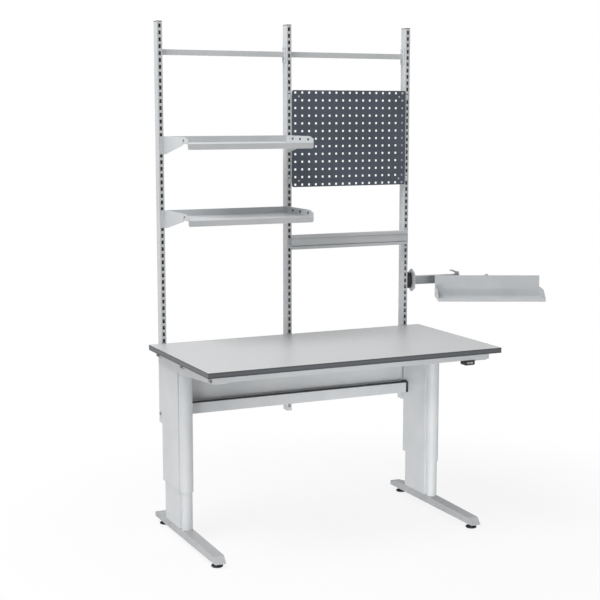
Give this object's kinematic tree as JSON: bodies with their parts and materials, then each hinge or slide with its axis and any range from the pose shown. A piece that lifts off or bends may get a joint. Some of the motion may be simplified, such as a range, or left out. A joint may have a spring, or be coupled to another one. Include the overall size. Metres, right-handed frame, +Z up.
{
  "type": "height-adjustable lab workbench with shelves",
  "caption": "Height-adjustable bench on telescopic columns with slotted uprights, shelves, a perforated panel, a bin rail and a side tray on a jointed arm.",
  "frame": {"origin": "middle of the whole footprint, on the floor", "axes": "+X to the right seen from the front, +Y to the back, +Z up"},
  "size_m": [2.0648, 0.8834, 2.45],
  "materials": {
    "laminate": "satin light grey laminate on particle board",
    "edge_plastic": "dark grey edge band",
    "light_paint": "light grey powder coat",
    "dark_paint": "dark blue-grey powder coat",
    "black_paint": "black paint",
    "black_plastic": "black moulded plastic",
    "pale_plastic": "light grey moulded plastic",
    "aluminium": "drawn aluminium",
    "zinc_steel": "ground steel"
  },
  "bodies": {
    "base": {"left_foot": "light_paint", "right_foot": "light_paint", "left_foot_end_plug": "black_plastic", "left_lift_rod": "zinc_steel", "left_lower_column": "light_paint", "right_foot_end_plug": "black_plastic", "right_lift_rod": "zinc_steel", "right_lower_column": "light_paint"},
    "bench": {"arm_clamp": "black_plastic", "arm_pivot_pin": "zinc_steel", "bin_rail": "light_paint", "cable_trough": "light_paint", "front_rail": "light_paint", "hand_control": "black_plastic", "left_lift_cylinder": "black_paint", "left_support_arm": "light_paint", "left_top_beam": "light_paint", "left_trough_end_cap": "black_plastic", "left_upper_column": "light_paint", "left_upright": "light_paint", "left_upright_cap": "edge_plastic", "lower_shelf": "light_paint", "lower_shelf_left_bracket": "light_paint", "lower_shelf_right_bracket": "light_paint", "middle_rail": "light_paint", "middle_upright": "light_paint", "middle_upright_cap": "edge_plastic", "panel_left_bracket": "light_paint", "panel_right_bracket": "light_paint", "perforated_panel": "dark_paint", "pump_unit": "black_paint", "rear_panel": "light_paint", "rear_rail": "light_paint", "right_lift_cylinder": "black_paint", "right_support_arm": "light_paint", "right_top_beam": "light_paint", "right_trough_end_cap": "black_plastic", "right_upper_column": "light_paint", "right_upright": "light_paint", "right_upright_cap": "edge_plastic", "trough_edge_trim": "black_plastic", "upper_shelf": "light_paint", "upper_shelf_left_bracket": "light_paint", "upper_shelf_right_bracket": "light_paint", "worktop_board": "laminate", "worktop_edge_band": "edge_plastic"},
    "inner_arm": {"arm_barrel": "black_plastic", "arm_flange": "light_paint", "inner_arm": "aluminium"},
    "outer_arm": {"outer_arm": "aluminium"},
    "elbow_lever": {"elbow_lever": "zinc_steel"},
    "tray": {"tray_bracket": "light_paint", "side_tray": "light_paint"},
    "tray_knob": {"tray_knob": "pale_plastic"},
    "up_button": {"up_button": "pale_plastic"},
    "down_button": {"down_button": "pale_plastic"},
    "front_left_levelling_foot": {"front_left_levelling_foot": "black_plastic"},
    "front_right_levelling_foot": {"front_right_levelling_foot": "black_plastic"},
    "rear_left_levelling_foot": {"rear_left_levelling_foot": "black_plastic"},
    "rear_right_levelling_foot": {"rear_right_levelling_foot": "black_plastic"}
  },
  "joints": [
    {"name": "lift", "type": "slide", "parent": "base", "child": "bench", "axis": [0, 0, 1], "range_m": [-0.17, 0.23]},
    {"name": "arm_swing", "type": "hinge", "parent": "bench", "child": "inner_arm", "pos_m": [0.42463, 0.37635, 1.144], "axis": [0, 0, 1], "range_deg": [-45, 60]},
    {"name": "elbow_swing", "type": "hinge", "parent": "inner_arm", "child": "outer_arm", "pos_m": [0.7022, 0.34815, 1.144], "axis": [0, 0, 1], "range_deg": [-5, 60]},
    {"name": "elbow_lever_turn", "type": "hinge", "parent": "outer_arm", "child": "elbow_lever", "pos_m": [0.7022, 0.34815, 1.18], "axis": [0, 0, 1], "range_deg": [-60, 90]},
    {"name": "tray_swivel", "type": "hinge", "parent": "outer_arm", "child": "tray", "pos_m": [0.79733, 0.20606, 1.125], "axis": [0, 0, 1], "range_deg": [-5, 75]},
    {"name": "tray_knob_turn", "type": "hinge", "parent": "tray", "child": "tray_knob", "pos_m": [0.79733, 0.20606, 1.16], "axis": [0, 0, 1], "continuous": true},
    {"name": "up_press", "type": "slide", "parent": "bench", "child": "up_button", "axis": [0, 1, 0], "range_m": [0, 0.0015], "stiffness_N_per_m": 900},
    {"name": "down_press", "type": "slide", "parent": "bench", "child": "down_button", "axis": [0, 1, 0], "range_m": [0, 0.0015], "stiffness_N_per_m": 900},
    {"name": "front_left_levelling", "type": "hinge", "parent": "base", "child": "front_left_levelling_foot", "pos_m": [-0.95337, -0.32665, 0.015], "axis": [0, 0, 1], "continuous": true},
    {"name": "rear_left_levelling", "type": "hinge", "parent": "base", "child": "rear_left_levelling_foot", "pos_m": [-0.95337, 0.37135, 0.015], "axis": [0, 0, 1], "continuous": true},
    {"name": "front_right_levelling", "type": "hinge", "parent": "base", "child": "front_right_levelling_foot", "pos_m": [0.38863, -0.32665, 0.015], "axis": [0, 0, 1], "continuous": true},
    {"name": "rear_right_levelling", "type": "hinge", "parent": "base", "child": "rear_right_levelling_foot", "pos_m": [0.38863, 0.37135, 0.015], "axis": [0, 0, 1], "continuous": true}
  ]
}
